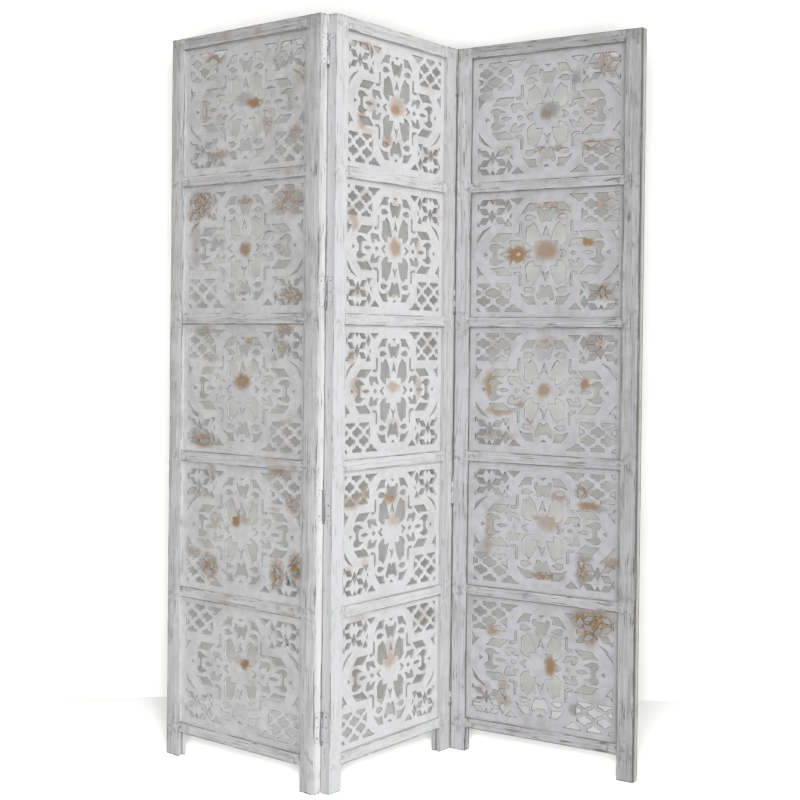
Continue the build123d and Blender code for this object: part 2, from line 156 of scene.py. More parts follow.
# The worn patches of each panel by what shows there. Each has its middle, right of and above the panel's own
# middle, and its half width and half height, all in millimetres, and then its strength.
PATCHES = {
    ("left", 1): {
        "rubbed": [(31, 4, 24, 11, 1.0)],
        "browned": [
            (-106, 128, 25, 11, 0.8), (78, -43, 11, 19, 0.6), (166, -82, 13, 18, 0.7),
            (-96, -113, 28, 8, 0.7), (-84, -25, 17, 12, 0.3), (-144, 1, 12, 19, 0.35),
            (180, 57, 15, 17, 0.4), (110, 100, 15, 13, 0.3),
        ],
        "sooty": [(-7, 17, 26, 15, 0.6)],
    },
    ("left", 2): {
        "browned": [
            (-154, 115, 28, 23, 0.9), (-170, 89, 21, 11, 0.8), (151, 111, 33, 20, 0.8),
            (6, 114, 18, 7, 0.7), (123, 36, 21, 8, 0.3), (123, -1, 17, 15, 0.4), (0, -106, 18, 6, 0.6),
            (158, -117, 25, 14, 0.8),
        ],
        "stained": [(-172, 26, 14, 48, 0.6), (-173, -22, 16, 19, 0.6)],
        "sooty": [(114, 87, 25, 9, 0.4), (-95, 17, 23, 12, 0.6)],
        "rubbed": [(3, -4, 18, 16, 0.9)],
    },
    ("left", 3): {
        "browned": [
            (-138, 143, 21, 10, 0.6), (-114, 77, 21, 8, 0.5), (137, 147, 21, 10, 0.7),
            (131, 106, 15, 12, 0.6), (24, 119, 11, 7, 0.6), (-137, -131, 34, 14, 0.8),
            (142, -136, 24, 9, 0.3),
        ],
        "rubbed": [(-2, 20, 25, 18, 0.9)],
        "sooty": [(-165, -64, 13, 7, 0.6)],
        "stained": [(143, -72, 20, 7, 0.5)],
    },
    ("left", 4): {
        "browned": [
            (-109, 137, 13, 17, 0.5), (-153, 81, 27, 7, 0.5), (127, 153, 23, 6, 0.7),
            (172, 77, 15, 16, 0.8), (-94, 20, 13, 16, 0.5), (112, 61, 16, 4, 0.4),
            (-113, -101, 24, 22, 0.9), (-167, -69, 19, 10, 0.6), (120, -92, 16, 25, 0.9),
            (180, -71, 15, 24, 1.0), (173, -105, 12, 9, 0.6),
        ],
        "rubbed": [(-19, 28, 16, 20, 1.0), (13, 31, 16, 14, 0.5)],
    },
    ("left", 5): {
        "rubbed": [(16, 21, 17, 12, 1.0), (-11, 30, 18, 11, 0.35)],
        "stained": [(87, 27, 21, 10, 0.4)],
    },
    ("middle", 1): {
        "rubbed": [
            (4, 10, 31, 23, 0.55), (-3, -1, 20, 14, 0.9), (-131, 138, 29, 8, 0.6),
            (-85, 133, 21, 11, 0.3), (-103, -4, 20, 14, 0.4), (-141, -45, 17, 21, 0.7),
            (-116, -69, 20, 8, 0.3), (-39, -78, 19, 16, 0.65), (144, -97, 33, 12, 0.35),
        ],
        "stained": [(-2, -88, 31, 18, 0.4), (141, 77, 30, 20, 0.35), (46, -86, 14, 8, 0.3)],
    },
    ("middle", 2): {
        "stained": [
            (-124, 125, 23, 14, 0.5), (-151, 100, 15, 9, 0.4), (178, 96, 25, 17, 0.35),
            (-123, -41, 41, 16, 0.3),
        ],
        "rubbed": [
            (-177, 77, 16, 16, 0.6), (-166, 57, 13, 20, 0.55), (-3, 112, 10, 20, 0.3),
            (1, 8, 22, 21, 0.8), (99, 18, 10, 26, 0.35), (-151, -108, 32, 10, 0.5),
            (-9, -106, 21, 9, 0.7),
        ],
    },
    ("middle", 3): {
        "rubbed": [
            (-2, 9, 26, 12, 0.6), (-174, 84, 16, 17, 0.55), (-152, 13, 22, 21, 0.6),
            (107, 5, 14, 26, 0.55), (0, -84, 24, 18, 0.35),
        ],
        "stained": [(141, 119, 33, 19, 0.45)],
    },
    ("middle", 4): {
        "rubbed": [
            (15, 29, 31, 18, 0.45), (-10, 83, 27, 15, 0.95), (-116, 103, 14, 23, 0.75),
            (-163, 82, 38, 15, 0.65), (-113, -67, 12, 12, 0.35), (-179, -82, 16, 11, 0.3),
        ],
        "stained": [(42, 63, 28, 24, 0.35), (170, 11, 15, 29, 0.3)],
    },
    ("middle", 5): {
        "rubbed": [
            (-2, 27, 26, 17, 0.55), (-3, 61, 22, 17, 0.3), (-133, 148, 32, 10, 0.35),
            (135, 116, 32, 25, 0.35), (-143, 7, 20, 23, 0.35),
        ],
        "stained": [(190, 108, 16, 25, 0.3)],
    },
    ("right", 1): {
        "browned": [
            (-4, 3, 12, 9, 0.6), (161, 119, 23, 17, 0.6), (170, 104, 13, 11, 0.7),
            (87, 33, 14, 9, 0.3), (119, 7, 17, 11, 0.4), (116, -83, 16, 9, 0.8),
            (157, -79, 20, 8, 0.5), (-19, -84, 11, 6, 0.7), (28, -85, 12, 5, 0.7),
        ],
        "sooty": [
            (5, 14, 24, 18, 0.8), (-152, 93, 22, 11, 0.5), (-174, 60, 23, 10, 0.4),
            (77, 87, 12, 13, 0.7), (-117, -109, 12, 8, 0.3),
        ],
        "stained": [(-120, -78, 22, 14, 0.5)],
    },
    ("right", 2): {
        "rubbed": [(0, 8, 29, 22, 0.8), (-82, -1, 28, 21, 1.0), (112, 26, 20, 11, 1.0)],
        "browned": [
            (-131, 134, 19, 5, 0.7), (11, 119, 38, 6, 0.6), (37, 106, 12, 7, 0.5),
            (160, 122, 18, 14, 0.6), (-149, -100, 19, 7, 0.7), (155, -96, 25, 14, 0.8),
        ],
    },
    ("right", 3): {
        "rubbed": [
            (-1, 2, 18, 18, 0.8), (-152, 15, 17, 32, 0.8), (-125, -53, 34, 12, 0.7),
            (-65, -36, 14, 9, 0.7), (-39, -71, 10, 9, 0.7), (111, 22, 12, 16, 0.9),
        ],
        "browned": [
            (134, 118, 20, 21, 0.7), (-129, 119, 26, 17, 0.35), (7, 123, 23, 11, 0.4),
            (-131, -118, 41, 9, 0.5),
        ],
        "sooty": [(-146, 84, 13, 17, 0.4)],
    },
    ("right", 4): {
        "rubbed": [(18, 17, 32, 19, 0.55), (-15, 29, 10, 5, 0.6), (126, 67, 27, 11, 0.9)],
        "browned": [
            (108, 99, 13, 12, 0.8), (44, 84, 18, 8, 0.6), (-150, -14, 9, 35, 0.5),
            (-151, -47, 13, 10, 0.5), (10, -118, 34, 8, 0.9), (113, -93, 14, 21, 0.9),
            (184, -69, 16, 10, 0.7),
        ],
        "sooty": [
            (157, 61, 20, 9, 0.6), (112, 108, 22, 12, 0.4), (-164, -70, 20, 22, 0.5),
            (120, -63, 20, 8, 0.6),
        ],
    },
    ("right", 5): {
        "rubbed": [(-137, 74, 16, 14, 0.75), (107, 135, 11, 8, 0.8), (26, 3, 15, 22, 1.0)],
        "browned": [
            (140, 128, 40, 22, 1.0), (130, 96, 16, 20, 0.9), (-104, -64, 12, 8, 0.6),
            (-106, -100, 18, 13, 0.5), (-159, -76, 13, 12, 0.3), (-120, -41, 22, 7, 0.3),
        ],
        "sooty": [(94, -97, 17, 12, 0.6), (17, 77, 51, 5, 0.25)],
    },
}
# A patch is full within the second of these shares of its half size and gone outside the first. Browned ones
# are spread wider. Outlines wander by up to half of the last number, in metres.
PATCH_FADE = (1.55, 0.55)
BROWNED_SPREAD = 1.3
PATCH_WANDER = 0.024


# ---------------------------------------------------------------- settings


def colour_property(name, description, default):
    """A linear colour that a user can change."""
    return bpy.props.FloatVectorProperty(
        name=name, description=description, subtype="COLOR", default=default, min=0, max=1
    )


def size_property(name, description, default):
    """A length in metres that a user can change."""
    return bpy.props.FloatProperty(name=name, description=description, unit="LENGTH", default=default)


def light_property(name, description, default, unit="NONE"):
    """How bright a light is."""
    return bpy.props.FloatProperty(name=name, description=description, unit=unit, default=default, min=0)


class JaliFinishSettings(bpy.types.PropertyGroup):
    """Colours and edges of the wood."""

    whitewash: colour_property("Whitewash", "The chalky paint over all the wood", (0.86, 0.86, 0.86))
    thin_paint: colour_property("Thin paint", "Streaks where the grain shows through", (0.42, 0.415, 0.405))
    worn_edge: colour_property("Worn edge", "Dark, dirty wood along worn edges", (0.135, 0.128, 0.105))
    rubbed_wood: colour_property("Rubbed wood", "Bare wood in the rubbed places", (0.365, 0.222, 0.113))
    browned_wood: colour_property("Browned wood", "Stained ribs of the fretwork", (0.36, 0.23, 0.12))
    browned_edge: colour_property("Browned edge", "Edges of the stained ribs", (0.13, 0.085, 0.045))
    stain: colour_property("Stain", "Soft stains in the paint", (0.40, 0.33, 0.29))
    soot: colour_property("Soot", "Grey smudges", (0.22, 0.215, 0.20))
    frame_edge: size_property("Frame edge", "Width of the eased edges of stiles and rails", 0.0007)
    fret_edge: size_property("Fretwork edge", "Width of the eased edges round the holes", 0.0012)


class JaliMetalSettings(bpy.types.PropertyGroup):
    """Colours and sizes of hinges and brads."""

    hinge_paint: colour_property("Hinge paint", "Whitewash brushed over the hinges", (0.73, 0.72, 0.77))
    steel: colour_property("Steel", "Old dark steel of pins, screws and brads", (0.20, 0.19, 0.18))
    rust: colour_property("Rust", "Brown rust on the steel", (0.16, 0.075, 0.035))
    brad_diameter: size_property("Brad head", "Diameter of a brad's head", 0.0030)
    brad_height: size_property("Brad height", "How far a brad's head stands proud", 0.0004)


class JaliStageSettings(bpy.types.PropertyGroup):
    """Floor, wall and lights."""

    floor: colour_property("Floor", "The pale floor", (0.66, 0.66, 0.65))
    wall: colour_property("Wall", "The plain wall close behind the screen", (0.38, 0.378, 0.366))
    wall_gap: size_property("Wall gap", "From the middle of the screen to the wall", 0.70)
    lamp: light_property("Lamp", "The lamp that whitens floor and wall alone", 2700, "POWER")
    ambient: light_property("Ambient", "Strength of the even light from all round", 0.36)
    key: light_property("Key", "Strength of the large light at the front right", 2.25)
    fill: light_property("Fill", "Strength of the low light straight in front", 0.62)
    back: light_property("Back", "Strength of the light behind the screen", 1.2)


# ---------------------------------------------------------------- shader maths


class Value:
    """A number, colour or vector that varies over a surface. Arithmetic on it adds Math nodes."""

    def __init__(self, graph, socket):
        self.graph = graph
        self.socket = socket

    def math(self, operation, first, second=0.0):
        return self.graph.node("ShaderNodeMath", {"operation": operation}, {0: first, 1: second})

    def __add__(self, other):
        return self.math("ADD", self, other)

    __radd__ = __add__

    def __sub__(self, other):
        return self.math("SUBTRACT", self, other)

    def __rsub__(self, other):
        return self.math("SUBTRACT", other, self)

    def __mul__(self, other):
        return self.math("MULTIPLY", self, other)

    __rmul__ = __mul__

    def __truediv__(self, other):
        return self.math("DIVIDE", self, other)

    def __mod__(self, other):
        return self.math("FLOORED_MODULO", self, other)

    def __abs__(self):
        return self.math("ABSOLUTE", self)

    def least(self, other):
        return self.math("MINIMUM", self, other)

    def most(self, other):
        return self.math("MAXIMUM", self, other)

    def over(self, limit):
        return self.math("GREATER_THAN", self, limit)

    def ramp(self, low, high):
        """0 at low and 1 at high, smooth between them. Low may be the larger."""
        sockets = {"Value": self, "From Min": low, "From Max": high}
        return self.graph.node("ShaderNodeMapRange", {"interpolation_type": "SMOOTHSTEP"}, sockets)


class Graph:
    """The shader nodes of a material or a world. Every one of them comes from node()."""

    def __init__(self, owner):
        self.owner = owner
        owner.use_nodes = True
        owner.node_tree.nodes.clear()

    def node(self, kind, settings=None, sockets=None, output=0):
        """Add a node, set it up, fill its sockets, and give one of its outputs."""
        made = self.owner.node_tree.nodes.new(kind)
        for name, value in (settings or {}).items():
            setattr(made, name, value)
        for name, value in (sockets or {}).items():
            if isinstance(value, Value):
                self.owner.node_tree.links.new(value.socket, made.inputs[name])
            else:
                made.inputs[name].default_value = value
        return Value(self, made.outputs[output]) if made.outputs else made

    def vector_math(self, operation, first, second, output=0):
        return self.node("ShaderNodeVectorMath", {"operation": operation}, {0: first, 1: second}, output)

    def mix(self, first, second, share):
        """Blend from the first colour to the second."""
        first, second = ((*c, 1.0) if isinstance(c, (tuple, list)) else c for c in (first, second))
        return self.node("ShaderNodeMix", {"data_type": "RGBA"}, {0: share, 6: first, 7: second}, 2)

    def split(self, vector):
        """The three numbers of a vector."""
        return [self.node("ShaderNodeSeparateXYZ", None, {0: vector}, axis) for axis in range(3)]

    def seen(self):
        """1 where the camera sees a surface, also in a mirror or through glass."""
        kinds = ("Is Camera Ray", "Is Glossy Ray", "Is Transmission Ray")
        rays = [self.node("ShaderNodeLightPath", output=kind) for kind in kinds]
        return rays[0].most(rays[1]).most(rays[2])

    def whitened(self, shader, share):
        """The shader with white added to it by a share, where it is seen."""
        glow = self.mix((0.0, 0.0, 0.0), (1.0, 1.0, 1.0), self.seen() * share)
        white = self.node("ShaderNodeEmission", None, {"Color": glow, "Strength": 1.0})
        return self.node("ShaderNodeAddShader", None, {0: shader, 1: white})

    def noise(self, point, scale, detail=2.0, roughness=0.5, output="Fac"):
        sockets = {"Vector": point, "Scale": scale, "Detail": detail, "Roughness": roughness}
        return self.node("ShaderNodeTexNoise", None, sockets, output)


class LeafGraph(Graph):
    """The nodes of a finish on one leaf, measured in that leaf's own axes, so that it rides with the leaf."""

    def __init__(self, name, leaf):
        super().__init__(bpy.data.materials.new(name))
        self.leaf = leaf
        turn = math.radians(LEAVES[leaf][0])
        start = leaf_matrix(leaf).translation
        place = self.node("ShaderNodeTexCoord", output="Object")
        facing = self.node("ShaderNodeTexCoord", output="Normal")
        sockets = {"Vector": place, "Location": start, "Rotation": (0, 0, turn)}
        self.point = self.node("ShaderNodeMapping", {"vector_type": "TEXTURE"}, sockets)
        settings = {"rotation_type": "Z_AXIS", "invert": True}
        facing = self.node("ShaderNodeVectorRotate", settings, {"Vector": facing, "Angle": turn})
        self.x, self.y, self.z = self.split(self.point)
        self.facing_x, self.facing_y = [abs(part) for part in self.split(facing)[:2]]

    def grain(self, along, seed):
        """The point, drawn out along the grain, with a pattern of its own for each leaf and seed."""
        stretch = {"x": (0.05, 1, 1), "z": (1, 1, 0.05)}[along]
        shift = (3.1 * seed + 1.7 * list(LEAVES).index(self.leaf), 0.7 * seed, 0.31 * seed)
        return self.vector_math("ADD", self.vector_math("MULTIPLY", self.point, stretch), shift)

    def spot(self, seed):
        """The point with a pattern of its own for each leaf and seed."""
        shift = (2.3 * seed + 5.9 * list(LEAVES).index(self.leaf), 0.9 * seed, 0.53 * seed)
        return self.vector_math("ADD", self.point, shift)

    def finish(self, colour, roughness, height):
        """Join colour, roughness and relief in a matt shader, and give the material."""
        sockets = {"Strength": 0.5, "Distance": PAINT_RELIEF, "Height": height}
        bump = self.node("ShaderNodeBump", None, sockets)
        sockets = {"Base Color": colour, "Roughness": roughness, "Normal": bump, "Specular IOR Level": 0.3}
        shader = self.node("ShaderNodeBsdfPrincipled", None, sockets)
        self.node("ShaderNodeOutputMaterial", None, {"Surface": shader})
        return self.owner


def leaf_matrix(leaf):
    """Where a leaf's own axes are: its origin is the left end of its front face, on the floor."""
    degrees, fold, on_pins = LEAVES[leaf]
    pins = next(Vector(joint["pos_m"]) for joint in frame["joints"] if joint["name"] == fold)
    turn = Matrix.Rotation(math.radians(degrees), 4, "Z")
    start = Vector((pins.x, pins.y, 0)) - turn @ Vector(on_pins)
    return Matrix.Translation(start) @ turn


# ---------------------------------------------------------------- whitewash


def coat(graph, settings, thin):
    """Whitewash that is thin by the given share, tinted for the leaf, with painted shade on the middle and
    right leaves, and greyed further: high up as painted shade, on the top rail, and on the left and right
    stiles as painted light and shade.
    """
    paint = LEAF_PAINT[graph.leaf]
    painted_light_shade_and_top_grey = graph.z.ramp(*SHADE_HIGH_UP) * paint["high"] + graph.z.ramp(*AT_TOP_RAIL) * paint["top"]
    painted_light_shade_and_top_grey = painted_light_shade_and_top_grey + (LEAF_WIDTH - graph.x).ramp(*WITHIN_STILE) * paint["right"]
    painted_light_shade_and_top_grey = painted_light_shade_and_top_grey + graph.x.ramp(*WITHIN_STILE) * paint["left"]
    tinted_and_shaded = tuple(c * t for c, t in zip(settings.whitewash, LEAF_TINT_AND_SHADE[graph.leaf]))
    return graph.mix(tinted_and_shaded, tuple(settings.thin_paint), thin + painted_light_shade_and_top_grey)


def whitewash(graph, settings, along, seed=0.0):
    """The coat on stiles, rails and hinges, thin in streaks along the grain. Gives colour and relief."""
    wear = LEAF_PAINT[graph.leaf]["wear"]
    brushed = graph.noise(graph.grain(along, seed), 620, 3, 0.6)
    streaks = graph.noise(graph.grain(along, seed + 1), 170, 3, 0.6)
    bands = graph.noise(graph.grain(along, seed + 2), 70, 2, 0.5)
    clouds = graph.noise(graph.spot(seed + 3), 14, 4, 0.65)
    thin = bands.ramp(0.42, 0.60) * 0.4 + streaks.ramp(0.47, 0.60) * 0.65 + clouds.ramp(0.44, 0.62) * 0.35
    thin = thin * (0.16 + 0.34 * wear) * (1 - 0.6 * graph.facing_x) + brushed.ramp(0.4, 0.75) * 0.12
    colour = coat(graph, settings, thin)
    dashes = graph.noise(graph.grain(along, seed + 4), 260, 3, 0.6).ramp(0.55, 0.63)
    dashes = dashes * graph.noise(graph.spot(seed + 5), 14, 3).ramp(0.47, 0.58) * (0.12 + 0.6 * wear)
    colour = graph.mix(colour, tuple(settings.worn_edge), dashes)
    relief = brushed * 0.5 + streaks * 0.5 - dashes
    return colour, relief


def fret_whitewash(graph, settings, seed):
    """The blotchy coat on the fretwork. Gives colour and relief."""
    wear = LEAF_PAINT[graph.leaf]["wear"]
    brushed = graph.noise(graph.grain("x", seed), 520, 3, 0.6)
    blotches = graph.noise(graph.spot(seed + 1), 45, 4, 0.6)
    clouds = graph.noise(graph.spot(seed + 2), 11, 3, 0.6)
    thin = blotches.ramp(0.42, 0.66) * 0.5 + clouds.ramp(0.42, 0.66) * 0.5
    thin = thin * (0.12 + 0.30 * wear) + brushed.ramp(0.4, 0.75) * 0.12
    return coat(graph, settings, thin), brushed + blotches


def broken_line(graph, distance, width, along, seed, cover):
    """A worn line within a width of an edge, broken up along the grain. Cover is how much of it is left."""
    ragged = graph.noise(graph.grain(along, seed), 420, 3, 0.6)
    broken = graph.noise(graph.grain(along, seed + 0.5), 230, 3, 0.55)
    reach = distance / (0.25 * width + 1.5 * width * ragged)
    return reach.ramp(1.0, 0.5) * broken.ramp(0.60 - 0.25 * cover, 0.68 - 0.25 * cover)


def nearest(measure, places):
    """The distance to the nearest of some places along one of the leaf's axes."""
    distance = abs(measure - places[0])
    for place in places[1:]:
        distance = distance.least(abs(measure - place))
    return distance


def hinge_outline(graph):
    """On each hinged edge of the leaf: the distance to the nearest plate's outline, the distance from the
    corner by the pins, and 1 near that edge."""
    tall = nearest(graph.z, [floor + HINGE_HEIGHT / 2 for floor in HINGE_FLOORS]) - HINGE_HEIGHT / 2
    reach = PLATE_SETBACK + PLATE_WIDTH / 2
    outlines = []
    for edge, pin_side in HINGED_EDGES[graph.leaf]:
        corner, middle = (LEAF_THICKNESS, LEAF_THICKNESS - reach) if pin_side > 0 else (0.0, reach)
        wide = abs(graph.y - middle) - PLATE_WIDTH / 2
        near_edge = abs(graph.x - edge).ramp(*HINGE_TRACES)
        outlines.append((abs(tall.most(wide)), abs(graph.y - corner), near_edge))
    return outlines


def stile_finish(leaf, settings):
    graph = LeafGraph(f"{leaf}_stile_whitewash", leaf)
    wear, edges = LEAF_PAINT[leaf]["wear"], LEAF_PAINT[leaf]["edges"]
    colour, relief = whitewash(graph, settings, "z")
    on_face = graph.facing_y.ramp(0.4, 0.7)
    outer = nearest(graph.x, [0.0, LEAF_WIDTH])
    inner = nearest(graph.x, [STILE_WIDTH, LEAF_WIDTH - STILE_WIDTH])
    arris = nearest(graph.y, [0.0, LEAF_THICKNESS])
    worn = broken_line(graph, outer, 0.0028 + 0.0016 * edges, "z", 11, edges) * on_face
    worn = worn.most(broken_line(graph, inner, 0.0022, "z", 13, 0.45 * wear - 0.15) * on_face)
    worn = worn.most(broken_line(graph, arris, 0.002 + 0.004 * edges, "z", 17, edges) * (1 - on_face))
    joints = nearest(graph.z, [FOOT_HEIGHT + RAIL_HEIGHT / 2 + k * ROW_PITCH for k in range(ROWS + 1)])
    handled = joints.ramp(STILE_GRIME_REACH, 0.0) * graph.noise(graph.spot(21), 60, 3, 0.6).ramp(0.5, 0.62)
    greyed = (handled * on_face * 0.5).most((1 - on_face) * graph.y.ramp(0.022, 0.0) * edges * 0.7)
    colour = graph.mix(colour, tuple(settings.soot), greyed * (0.25 + 0.6 * wear))
    ends = nearest(graph.z, [0.0, LEAF_HEIGHT])
    worn = worn.most((ends / END_WEAR).ramp(1.2, 0.2) * graph.noise(graph.spot(19), 160, 2).ramp(0.42, 0.6))
    # A painted shade, as dark as the worn edges, below each hinge where the fold's hollow is.
    hinge_hollow_shade = nearest(graph.z, [floor - HOLLOW_DROP for floor in HINGE_FLOORS]) / HOLLOW_HALF_HEIGHT
    for distance, corner, near_edge in hinge_outline(graph):
        smeared = distance.ramp(0.0016, 0.0004) * near_edge * graph.facing_x.ramp(0.5, 0.8)
        worn = worn.most(smeared * graph.noise(graph.spot(23), 220, 2).ramp(0.5, 0.62))
        worn = worn.most(hinge_hollow_shade.most(corner / HOLLOW_HALF_WIDTH).ramp(1.1, 0.6) * near_edge)
    # Worn edges, hinge traces and the painted shade below the hinges turn dark.
    colour = graph.mix(colour, tuple(settings.worn_edge), worn * 0.85)
    return graph.finish(colour, 0.62 + worn * 0.2, relief - worn * 1.5)


def rail_finish(leaf, settings):
    graph = LeafGraph(f"{leaf}_rail_whitewash", leaf)
    wear = LEAF_PAINT[leaf]["wear"]
    colour, relief = whitewash(graph, settings, "x", 30)
    on_face = graph.facing_y.ramp(0.4, 0.7)
    up = (graph.z - FOOT_HEIGHT + 0.1 * ROW_PITCH) % ROW_PITCH - 0.1 * ROW_PITCH
    top = RAIL_HEIGHT + (TOP_RAIL_HEIGHT - RAIL_HEIGHT) * graph.z.over(LEAF_HEIGHT - ROW_PITCH / 2)
    # The dark line along a rail's lower edge is worn paint and painted shade of the shadow gap below the
    # rail.
    lower_wear_and_shade = broken_line(graph, abs(up), 0.0026, "x", 31, 0.45 + 0.35 * wear)
    upper = broken_line(graph, abs(up - top), 0.0024, "x", 37, 0.25 + 0.45 * wear)
    worn = lower_wear_and_shade.most(upper) * on_face
    arris = nearest(graph.y, [0.0, LEAF_THICKNESS])
    worn = worn.most(broken_line(graph, arris, 0.002, "x", 41, 0.3 + 0.4 * wear) * (1 - on_face))
    ends = nearest(graph.x, [STILE_WIDTH, LEAF_WIDTH - STILE_WIDTH])
    handled = ends.ramp(RAIL_GRIME_REACH, 0.0) * graph.noise(graph.spot(45), 70, 3, 0.6).ramp(0.5, 0.6)
    colour = graph.mix(colour, tuple(settings.soot), handled * on_face * (0.15 + 0.45 * wear))
    tan = graph.noise(graph.spot(47), 11, 4, 0.6).ramp(0.60, 0.72) * on_face
    colour = graph.mix(colour, tuple(settings.rubbed_wood), tan * 0.35)
    colour = graph.mix(colour, tuple(settings.worn_edge), worn * 0.8)
    return graph.finish(colour, 0.62 + worn * 0.2, relief - worn * 1.5)


def patch_covers(graph, row):
    """How far each kind of patch covers a panel."""
    middle = (LEAF_WIDTH / 2, 0, FOOT_HEIGHT + RAIL_HEIGHT + (ROWS - row + 0.5) * ROW_PITCH - RAIL_HEIGHT / 2)
    wander = graph.noise(graph.spot(70 + row), 60, 4, 0.65, "Color")
    wander = graph.vector_math("SUBTRACT", wander, (0.5, 0.5, 0.5))
    wander = graph.vector_math("MULTIPLY", wander, (PATCH_WANDER, 0, PATCH_WANDER))
    local = graph.vector_math("ADD", graph.vector_math("SUBTRACT", graph.point, middle), wander)
    covers = {}
    for kind, patches in PATCHES[graph.leaf, row].items():
        spread = BROWNED_SPREAD if kind == "browned" else 1.0
        for right, above, half_width, half_height, strength in patches:
            centre = (right / 1000, 0, above / 1000)
            scale = (1000 / half_width / spread, 0, 1000 / half_height / spread)
            offset = graph.vector_math("MULTIPLY", graph.vector_math("SUBTRACT", local, centre), scale)
            patch = graph.vector_math("LENGTH", offset, (0, 0, 0), "Value").ramp(*PATCH_FADE) * strength
            covers[kind] = covers[kind].most(patch) if kind in covers else patch
    return covers


def panel_finish(leaf, row, settings):
    """Whitewashed fretwork, rubbed down to the wood at its middle and worn in patches."""
    graph = LeafGraph(f"{leaf}_fretwork_{row}", leaf)
    colour, relief = fret_whitewash(graph, settings, 50 + row)
    on_face = graph.facing_y.ramp(0.92, 0.99)
    on_wall = graph.facing_y.ramp(0.22, 0.06)
    on_edge = 1 - on_face - on_wall
    hole_grime_and_shade = graph.noise(graph.spot(60 + row), 55, 3, 0.6)
    # Grime on the hole walls, and on the middle leaf painted shade: its walls, which face away from the
    # light, are greyed more.
    wall_grime_and_shade = on_wall * (0.4 + 0.6 * hole_grime_and_shade.ramp(0.35, 0.65)) * LEAF_PAINT[leaf]["hole_grime_and_shade"]
    colour = graph.mix(colour, tuple(settings.thin_paint), wall_grime_and_shade)
    front = PANEL_FACE + settings.fret_edge
    lip = on_edge.most(on_wall * (graph.y - front).ramp(*RIM_DIRT) * 0.8)
    rims = lip * (0.45 + 0.55 * hole_grime_and_shade.ramp(0.35, 0.6)) * LEAF_PAINT[leaf]["rims"]
    colour = graph.mix(colour, tuple(settings.worn_edge), rims)
    ragged = graph.noise(graph.spot(80 + row), 130, 3, 0.6).ramp(0.35, 0.55)
    flecks = graph.noise(graph.spot(90 + row), 330, 3, 0.6).ramp(0.50, 0.60) * 0.6
    browned = graph.mix(tuple(settings.browned_wood), tuple(settings.browned_edge), on_edge.most(flecks))
    ribs = on_edge.most(on_face * (0.5 + 0.5 * ragged)) + on_wall * 0.12
    shades = {
        "stained": (tuple(settings.stain), 0.75),
        "sooty": (tuple(settings.soot), 0.8),
        "rubbed": (tuple(settings.rubbed_wood), 0.95 - 0.5 * on_wall),
        "browned": (browned, ribs),
    }
    covers = patch_covers(graph, row)
    for kind, (shade, share) in shades.items():
        if kind in covers:
            colour = graph.mix(colour, shade, covers[kind] * share)
    return graph.finish(colour, 0.64, relief + hole_grime_and_shade * 0.5)


def hinge_finish(leaf, settings, metal):
    """Whitewash brushed over steel plates, worn off at their outlines."""
    graph = LeafGraph(f"{leaf}_painted_hinge", leaf)
    colour, relief = whitewash(graph, settings, "z", 80)
    colour = graph.mix(colour, tuple(metal.hinge_paint), 0.5)
    chips = graph.noise(graph.spot(83), 260, 3, 0.6)
    worn = chips.ramp(0.66, 0.74)
    rubbed = graph.noise(graph.grain("z", 85), 190, 2).ramp(0.47, 0.53)
    for distance, corner, near_edge in hinge_outline(graph):
        worn = worn.most(distance.ramp(0.0018, 0.0003) * near_edge * chips.ramp(0.48, 0.6))
        worn = worn.most(corner.ramp(0.0060, 0.0045) * near_edge * rubbed)
    colour = graph.mix(colour, tuple(metal.steel), worn * 0.85)
    return graph.finish(colour, 0.55 - worn * 0.1, relief - worn)


def steel_finish(name, metal, paint_cover):
    """Old steel with rust and, in places, whitewash."""
    graph = Graph(bpy.data.materials.new(name))
    point = graph.node("ShaderNodeTexCoord", output="Object")
    blotches = graph.noise(point, 420, 3, 0.6)
    dabs = graph.noise(point, 170, 2, 0.5)
    colour = graph.mix(tuple(metal.steel), tuple(metal.rust), blotches.ramp(0.45, 0.65) * 0.7)
    painted = dabs.ramp(0.62 - 0.3 * paint_cover, 0.68 - 0.3 * paint_cover)
    colour = graph.mix(colour, tuple(metal.hinge_paint), painted)
    bare = 1 - painted
    bump = graph.node("ShaderNodeBump", None, {"Strength": 0.4, "Distance": RUST_RELIEF, "Height": blotches})
    shader = graph.node(
        "ShaderNodeBsdfPrincipled",
        None,
        {
            "Base Color": colour,
            "Metallic": bare * blotches.ramp(0.65, 0.45) * 0.8,
            "Roughness": 0.42 + blotches * 0.25,
            "Normal": bump,
        },
    )
    graph.node("ShaderNodeOutputMaterial", None, {"Surface": shader})
    return graph.owner


# ---------------------------------------------------------------- helpers for the pieces


def leaf_nodes(leaf, word):
    """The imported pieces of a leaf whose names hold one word."""
    found = [o for name, o in frame["nodes"].items() if name.startswith(f"{leaf}_leaf_") and word in name]
    if not found:
        raise RuntimeError(f"the packed screen has no {word} on its {leaf} leaf")
    return found


def dress(piece, material):
    """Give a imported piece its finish."""
    for slot in piece.material_slots:
        slot.material = material


def ease_edges(piece, width, segments, least_angle):
    """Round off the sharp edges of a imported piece."""
    weld = piece.modifiers.new("joined_faces", "WELD")
    weld.merge_threshold = 0.00001
    bevel = piece.modifiers.new("eased_edges", "BEVEL")
    bevel.width = width
    bevel.segments = segments
    bevel.limit_method = "ANGLE"
    bevel.angle_limit = math.radians(least_angle)
    bevel.use_clamp_overlap = False
    bevel.harden_normals = True


def link(piece):
    """Put a new object in the scene."""
    bpy.context.scene.collection.objects.link(piece)
    return piece


# ---------------------------------------------------------------- operators


